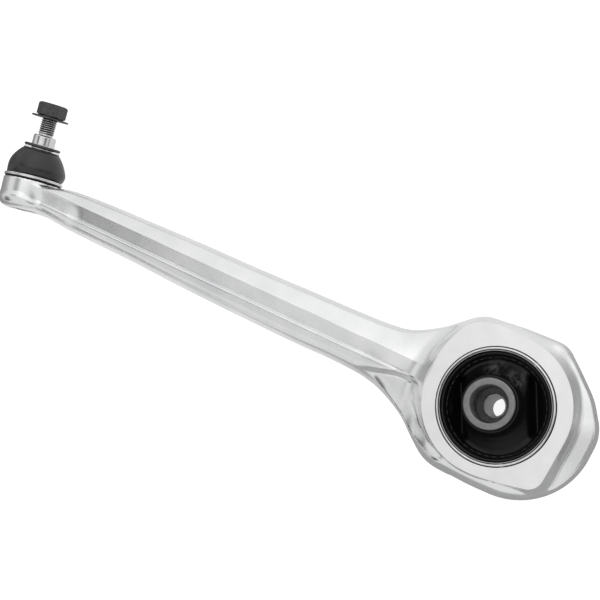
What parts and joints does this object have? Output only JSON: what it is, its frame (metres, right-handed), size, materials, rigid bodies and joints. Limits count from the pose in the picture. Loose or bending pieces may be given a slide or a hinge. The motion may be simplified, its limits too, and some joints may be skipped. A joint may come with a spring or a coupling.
{
  "type": "control arm",
  "caption": "Forged front suspension thrust arm with a fluid-filled rubber bush in its large eye and a booted ball joint, stud, washer and nut in its small end.",
  "frame": {"origin": "middle of the bush, on the axis of its outer sleeve, where the car's bolt carries the arm", "axes": "+Z along the bush's axis, the ball joint lies along -X, and the ball stud points roughly along +Y"},
  "size_m": [0.4651, 0.1167, 0.06],
  "materials": {
    "forged_aluminium": "satin shot-blasted forging with machined bosses",
    "bright_steel": "bright turned steel",
    "grey_steel": "grey machined steel",
    "zinc_steel": "bright zinc plate",
    "phosphated_steel": "dark grey phosphate coating",
    "black_rubber": "satin black",
    "black_plastic": "matt black",
    "acetal": "natural white"
  },
  "bodies": {
    "arm": {"arm_body": "forged_aluminium", "bush_outer_sleeve": "bright_steel", "bush_front_ring": "grey_steel", "bush_rear_ring": "grey_steel", "bush_window_cage": "grey_steel", "bush_rubber": "black_rubber", "channel_shell_inboard": "black_plastic", "channel_shell_outboard": "black_plastic", "travel_stop_inboard": "black_plastic", "travel_stop_outboard": "black_plastic", "housing_cap": "zinc_steel", "cap_seal_ring": "black_rubber", "liner_preload_ring": "grey_steel", "boot_lower_ring": "zinc_steel"},
    "sleeve": {"bush_inner_sleeve": "grey_steel"},
    "liner": {"bearing_liner": "acetal"},
    "boot_collar": {"boot_slide_collar": "black_plastic", "boot_upper_ring": "zinc_steel", "dust_boot": "black_rubber"},
    "stud": {"ball_stud": "bright_steel", "stud_flange_ring": "phosphated_steel"},
    "washer": {"nut_washer": "phosphated_steel"},
    "nut": {"hex_nut": "phosphated_steel"}
  },
  "joints": [
    {"name": "bush_twist", "type": "hinge", "parent": "arm", "child": "sleeve", "pos_m": [-0.0029, 0, 0], "axis": [0, 0, 1], "range_deg": [-15, 15], "stiffness_Nm_per_rad": 25, "deforming": ["bush_rubber"]},
    {"name": "ball_tilt_direction", "type": "hinge", "parent": "arm", "child": "liner", "pos_m": [-0.38, 0, 0], "axis": [-0.1958, 0.9797, 0.0436], "continuous": true},
    {"name": "ball_tilt", "type": "hinge", "parent": "liner", "child": "boot_collar", "pos_m": [-0.38, 0, 0], "axis": [0.6401, 0.1614, -0.7512], "range_deg": [-28, 16], "deforming": ["dust_boot"]},
    {"name": "stud_spin", "type": "hinge", "parent": "boot_collar", "child": "stud", "pos_m": [-0.38, 0, 0], "axis": [-0.117, 0.9868, 0.1122], "continuous": true},
    {"name": "nut_travel", "type": "slide", "parent": "stud", "child": "washer", "axis": [-0.117, 0.9868, 0.1122], "range_m": [-0.012, 0.009]},
    {"name": "nut_spin", "type": "hinge", "parent": "washer", "child": "nut", "pos_m": [-0.38, 0, 0], "axis": [-0.117, 0.9868, 0.1122], "range_deg": [-2881, 2161]}
  ],
  "couplings": [
    {"joint": "nut_spin", "follows": "nut_travel", "rad_per_m": 4188.8}
  ]
}
